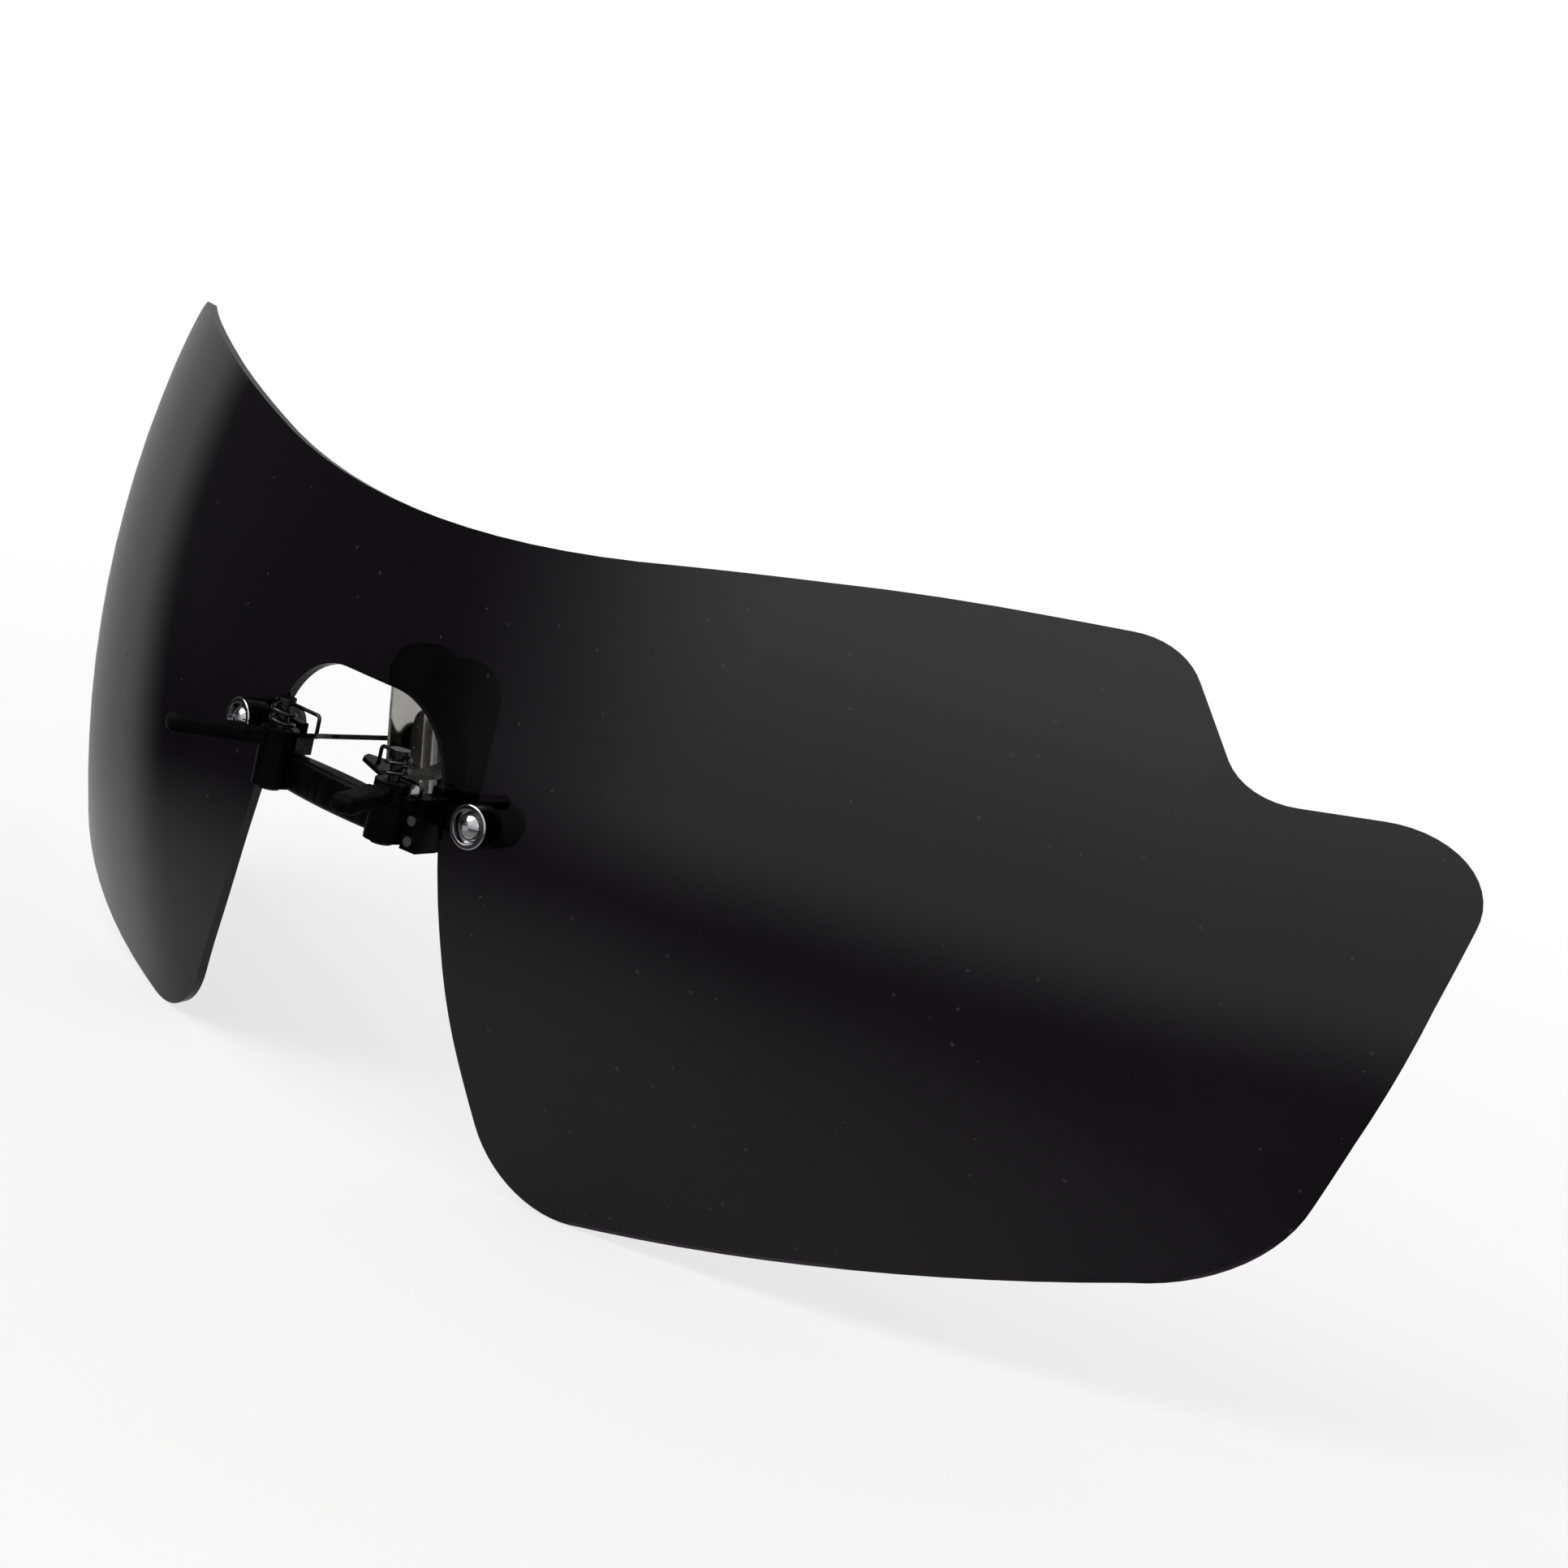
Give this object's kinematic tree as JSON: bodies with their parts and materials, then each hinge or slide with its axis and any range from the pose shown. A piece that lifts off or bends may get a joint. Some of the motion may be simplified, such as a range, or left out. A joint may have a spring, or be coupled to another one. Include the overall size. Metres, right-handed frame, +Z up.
{
  "type": "shield sunglasses",
  "caption": "Rimless one-piece smoke shield sunglasses without temples, held on the nose by a sprung finger-piece clip with clear pads.",
  "frame": {"origin": "under the middle of the box round the whole part, at the level of the lens's two inner lower corners", "axes": "+X across the width to the wearer's left, +Y backwards to the wearer, +Z up, as worn"},
  "size_m": [0.137, 0.0432, 0.049],
  "materials": {
    "smoke_lens": "polished, see-through dark neutral smoke",
    "black_metal": "black satin plating",
    "bright_steel": "bright",
    "bright_chrome": "polished",
    "clear_washer": "soft dark polymer",
    "black_nut": "matte black",
    "black_rubber": "soft matte black",
    "spring_wire": "dark spring steel",
    "arm_steel": "grey steel",
    "clear_silicone": "clear, soft gloss"
  },
  "bodies": {
    "lens_and_clip": {"shield_lens": "smoke_lens", "clip_bridge": "black_metal", "left_lug": "black_metal", "right_lug": "black_metal", "left_strap": "black_metal", "right_strap": "black_metal", "left_rivets": "bright_steel", "right_rivets": "bright_steel", "left_lens_screw": "bright_chrome", "right_lens_screw": "bright_chrome", "left_cup_washer": "bright_chrome", "right_cup_washer": "bright_chrome", "left_gasket": "clear_washer", "right_gasket": "clear_washer", "left_cap_nut": "black_nut", "right_cap_nut": "black_nut", "left_pivot_pin": "bright_steel", "right_pivot_pin": "bright_steel"},
    "left_finger_unit": {"left_lever": "black_metal", "left_sleeve": "black_rubber", "left_spring": "spring_wire", "left_pad_arm": "arm_steel", "left_pad_insert": "arm_steel", "left_nose_pad": "clear_silicone"},
    "right_finger_unit": {"right_lever": "black_metal", "right_sleeve": "black_rubber", "right_spring": "spring_wire", "right_pad_arm": "arm_steel", "right_pad_insert": "arm_steel", "right_nose_pad": "clear_silicone"}
  },
  "joints": [
    {"name": "left_lever_pivot", "type": "hinge", "parent": "lens_and_clip", "child": "left_finger_unit", "pos_m": [-0.0062, -0.01411, 0.02515], "axis": [0, 0, 1], "range_deg": [0, 30], "stiffness_Nm_per_rad": 0.006, "springref_deg": -22.92, "deforming": ["left_spring"]},
    {"name": "right_lever_pivot", "type": "hinge", "parent": "lens_and_clip", "child": "right_finger_unit", "pos_m": [0.0062, -0.01411, 0.02515], "axis": [0, 0, -1], "range_deg": [0, 30], "stiffness_Nm_per_rad": 0.006, "springref_deg": -22.92, "deforming": ["right_spring"]}
  ]
}
